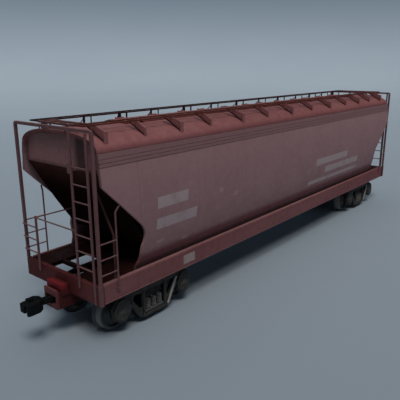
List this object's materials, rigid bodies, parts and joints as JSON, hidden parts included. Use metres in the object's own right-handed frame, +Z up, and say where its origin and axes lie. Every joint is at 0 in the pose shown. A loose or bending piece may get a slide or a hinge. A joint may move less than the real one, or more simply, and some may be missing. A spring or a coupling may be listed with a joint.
{
  "type": "model hopper car",
  "caption": "Scale model covered hopper car: barrel-sided body with sloped ends, roof walks and hatches, outlet gates, ladders, swivelling trucks with rolling wheels, and hinged couplers.",
  "frame": {"origin": "midway between the trucks, on the plane the wheel flanges stand on", "axes": "+X along the car towards the end with the hand brake, +Y to its left side, +Z up"},
  "size_m": [0.2166, 0.0348, 0.0576],
  "materials": {
    "body_paint": "weathered dark red-brown paint over moulded plastic",
    "roof_paint": "dust-faded red-brown paint over moulded plastic",
    "end_paint": "grimy red-brown paint over moulded plastic",
    "sill_paint": "worn red-brown paint with pale edges",
    "rail_paint": "faded red-brown paint on fine details",
    "truck_plastic": "dusty dark grey moulded plastic",
    "wheel_metal": "blackened metal with bright treads",
    "coupler_metal": "near-black cast metal",
    "spring_steel": "dull steel"
  },
  "bodies": {
    "car_body": {"side_sheet_right": "body_paint", "side_sill_right": "sill_paint", "running_board_right": "rail_paint", "side_sheet_left": "body_paint", "side_sill_left": "sill_paint", "running_board_left": "rail_paint", "roof": "roof_paint", "hatch_coaming": "roof_paint", "outlet_hopper_1": "body_paint", "outlet_hopper_2": "body_paint", "outlet_hopper_3": "body_paint", "end_bulkhead_a": "end_paint", "hopper_partition_a": "body_paint", "end_platform_a": "sill_paint", "draft_sill_a": "sill_paint", "coupler_box_lid_a": "sill_paint", "corner_frame_a": "rail_paint", "end_ladder_a": "rail_paint", "end_rail_a": "rail_paint", "end_walkway_a": "rail_paint", "truck_screw_a": "spring_steel", "end_bulkhead_b": "end_paint", "hopper_partition_b": "body_paint", "end_platform_b": "sill_paint", "draft_sill_b": "sill_paint", "coupler_box_lid_b": "sill_paint", "corner_frame_b": "rail_paint", "end_ladder_b": "rail_paint", "end_rail_b": "rail_paint", "end_walkway_b": "rail_paint", "truck_screw_b": "spring_steel", "brake_housing": "rail_paint", "brake_cylinder": "coupler_metal", "air_reservoir": "coupler_metal"},
    "hatch_cover_1": {"hatch_cover_1": "roof_paint"},
    "hatch_cover_2": {"hatch_cover_2": "roof_paint"},
    "hatch_cover_3": {"hatch_cover_3": "roof_paint"},
    "hatch_cover_4": {"hatch_cover_4": "roof_paint"},
    "outlet_gate_1": {"outlet_gate_1": "spring_steel"},
    "outlet_gate_2": {"outlet_gate_2": "spring_steel"},
    "outlet_gate_3": {"outlet_gate_3": "spring_steel"},
    "brake_wheel": {"brake_wheel": "coupler_metal"},
    "coupler_a": {"coupler_a": "coupler_metal"},
    "knuckle_a": {"knuckle_a": "coupler_metal"},
    "truck_a": {"truck_bolster_a": "truck_plastic", "side_frame_a_right": "truck_plastic", "side_frame_a_left": "truck_plastic", "spring_group_a_right": "spring_steel", "spring_group_a_left": "spring_steel"},
    "wheelset_a_outer": {"wheelset_a_outer": "wheel_metal"},
    "wheelset_a_inner": {"wheelset_a_inner": "wheel_metal"},
    "coupler_b": {"coupler_b": "coupler_metal"},
    "knuckle_b": {"knuckle_b": "coupler_metal"},
    "truck_b": {"truck_bolster_b": "truck_plastic", "side_frame_b_right": "truck_plastic", "side_frame_b_left": "truck_plastic", "spring_group_b_right": "spring_steel", "spring_group_b_left": "spring_steel"},
    "wheelset_b_outer": {"wheelset_b_outer": "wheel_metal"},
    "wheelset_b_inner": {"wheelset_b_inner": "wheel_metal"}
  },
  "joints": [
    {"name": "hatch_cover_1_hinge", "type": "hinge", "parent": "car_body", "child": "hatch_cover_1", "pos_m": [-0.0558, 0.0048, 0.05625], "axis": [-1, 0, 0], "range_deg": [0, 105]},
    {"name": "hatch_cover_2_hinge", "type": "hinge", "parent": "car_body", "child": "hatch_cover_2", "pos_m": [-0.0186, 0.0048, 0.05625], "axis": [-1, 0, 0], "range_deg": [0, 105]},
    {"name": "hatch_cover_3_hinge", "type": "hinge", "parent": "car_body", "child": "hatch_cover_3", "pos_m": [0.0186, 0.0048, 0.05625], "axis": [-1, 0, 0], "range_deg": [0, 105]},
    {"name": "hatch_cover_4_hinge", "type": "hinge", "parent": "car_body", "child": "hatch_cover_4", "pos_m": [0.0558, 0.0048, 0.05625], "axis": [-1, 0, 0], "range_deg": [0, 105]},
    {"name": "outlet_gate_1_slide", "type": "slide", "parent": "car_body", "child": "outlet_gate_1", "axis": [1, 0, 0], "range_m": [0, 0.0096]},
    {"name": "outlet_gate_2_slide", "type": "slide", "parent": "car_body", "child": "outlet_gate_2", "axis": [1, 0, 0], "range_m": [0, 0.0096]},
    {"name": "outlet_gate_3_slide", "type": "slide", "parent": "car_body", "child": "outlet_gate_3", "axis": [-1, 0, 0], "range_m": [0, 0.0096]},
    {"name": "brake_wheel_spin", "type": "hinge", "parent": "car_body", "child": "brake_wheel", "pos_m": [0.0986, 0.0065, 0.036], "axis": [1, 0, 0], "continuous": true},
    {"name": "truck_a_swivel", "type": "hinge", "parent": "car_body", "child": "truck_a", "pos_m": [-0.0745, 0, 0.0108], "axis": [0, 0, 1], "range_deg": [-10, 10]},
    {"name": "wheelset_a_outer_spin", "type": "hinge", "parent": "truck_a", "child": "wheelset_a_outer", "pos_m": [-0.0869, 0, 0.0059], "axis": [0, 1, 0], "continuous": true},
    {"name": "wheelset_a_inner_spin", "type": "hinge", "parent": "truck_a", "child": "wheelset_a_inner", "pos_m": [-0.0621, 0, 0.0059], "axis": [0, 1, 0], "continuous": true},
    {"name": "coupler_a_swing", "type": "hinge", "parent": "car_body", "child": "coupler_a", "pos_m": [-0.0966, 0, 0.0118], "axis": [0, 0, 1], "range_deg": [-15, 15], "stiffness_Nm_per_rad": 0.0004},
    {"name": "knuckle_a_hinge", "type": "hinge", "parent": "coupler_a", "child": "knuckle_a", "pos_m": [-0.1057, 0.00135, 0.0118], "axis": [0, 0, -1], "range_deg": [0, 40], "stiffness_Nm_per_rad": 0.0001},
    {"name": "truck_b_swivel", "type": "hinge", "parent": "car_body", "child": "truck_b", "pos_m": [0.0745, 0, 0.0108], "axis": [0, 0, 1], "range_deg": [-10, 10]},
    {"name": "wheelset_b_outer_spin", "type": "hinge", "parent": "truck_b", "child": "wheelset_b_outer", "pos_m": [0.0869, 0, 0.0059], "axis": [0, 1, 0], "continuous": true},
    {"name": "wheelset_b_inner_spin", "type": "hinge", "parent": "truck_b", "child": "wheelset_b_inner", "pos_m": [0.0621, 0, 0.0059], "axis": [0, 1, 0], "continuous": true},
    {"name": "coupler_b_swing", "type": "hinge", "parent": "car_body", "child": "coupler_b", "pos_m": [0.0966, 0, 0.0118], "axis": [0, 0, 1], "range_deg": [-15, 15], "stiffness_Nm_per_rad": 0.0004},
    {"name": "knuckle_b_hinge", "type": "hinge", "parent": "coupler_b", "child": "knuckle_b", "pos_m": [0.1057, -0.00135, 0.0118], "axis": [0, 0, -1], "range_deg": [0, 40], "stiffness_Nm_per_rad": 0.0001}
  ]
}
